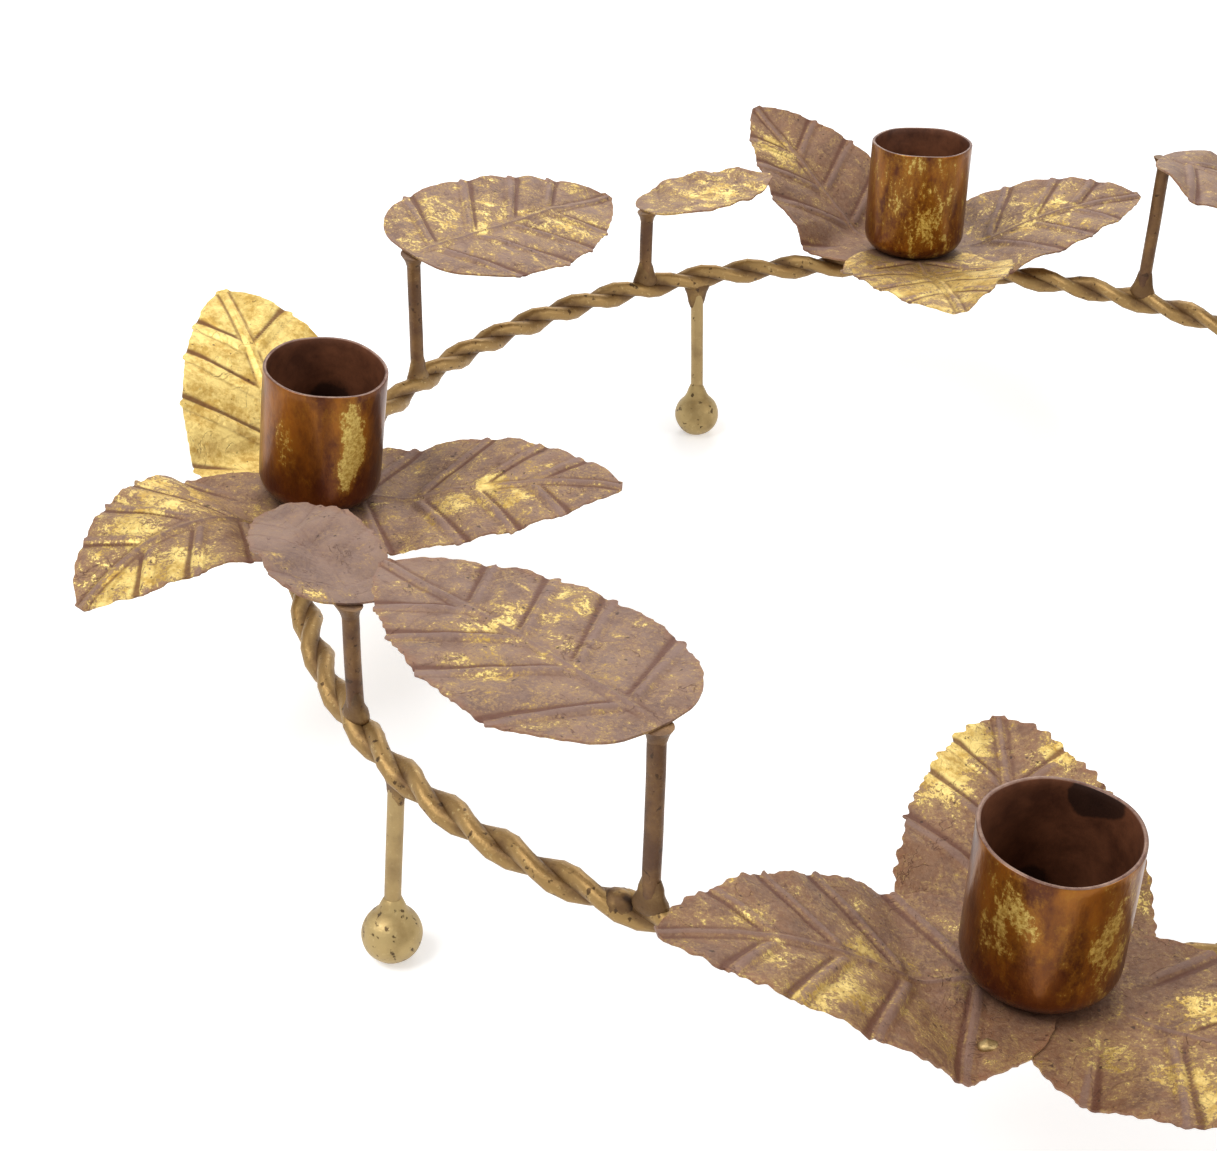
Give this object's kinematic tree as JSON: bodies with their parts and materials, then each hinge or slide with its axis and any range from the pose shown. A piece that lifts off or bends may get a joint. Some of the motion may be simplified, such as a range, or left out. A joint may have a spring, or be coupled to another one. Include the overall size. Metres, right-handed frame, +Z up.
{
  "type": "candle ring",
  "caption": "Twisted wire ring on ball-footed legs, carrying candle cups set on leaf rosettes and wire posts that hold single pressed leaves.",
  "frame": {"origin": "on the table at the middle of the object, on the ring's axis", "axes": "+Z up; -Y towards the front cup, +X to the right; the legs stand down from the ring to z = 0"},
  "size_m": [0.32, 0.3322, 0.0783],
  "materials": {
    "gilded_wire": "steel wire under worn pale gold leaf, brown patina in the grooves",
    "bronzed_wire": "steel wire with a darker brown-bronze patina",
    "foot_gilt": "satin cream-gold leaf with dark specks",
    "leaf_sheet": "thin pressed sheet, matte mauve-brown patina with crackled gold leaf",
    "cup_lacquer": "glossy amber-brown lacquer with patches of gold leaf, near-black inside"
  },
  "bodies": {
    "root": {"ring_wire_a": "gilded_wire", "ring_wire_b": "gilded_wire", "leg_front_left": "gilded_wire", "leg_back_left": "gilded_wire", "leg_back_right": "gilded_wire", "leg_front_right": "gilded_wire", "foot_front_left": "foot_gilt", "foot_back_left": "foot_gilt", "foot_back_right": "foot_gilt", "foot_front_right": "foot_gilt", "leg_solder": "gilded_wire", "post_front_tall": "bronzed_wire", "post_left_short": "bronzed_wire", "post_left_tall": "bronzed_wire", "post_back_short": "bronzed_wire", "post_back_tall": "bronzed_wire", "post_right_short": "bronzed_wire", "post_right_tall": "bronzed_wire", "post_front_short": "bronzed_wire", "leaf_solder": "bronzed_wire", "leaf_front_tall": "leaf_sheet", "leaf_left_short": "leaf_sheet", "leaf_left_tall": "leaf_sheet", "leaf_back_short": "leaf_sheet", "leaf_back_tall": "leaf_sheet", "leaf_right_short": "leaf_sheet", "leaf_right_tall": "leaf_sheet", "leaf_front_short": "leaf_sheet", "rosette_front_1": "leaf_sheet", "rosette_front_2": "leaf_sheet", "rosette_front_3": "leaf_sheet", "rosette_left_1": "leaf_sheet", "rosette_left_2": "leaf_sheet", "rosette_left_3": "leaf_sheet", "rosette_back_1": "leaf_sheet", "rosette_back_2": "leaf_sheet", "rosette_back_3": "leaf_sheet", "rosette_right_1": "leaf_sheet", "rosette_right_2": "leaf_sheet", "rosette_right_3": "leaf_sheet", "cup_front": "cup_lacquer", "cup_left": "cup_lacquer", "cup_back": "cup_lacquer", "cup_right": "cup_lacquer"}
  },
  "joints": []
}
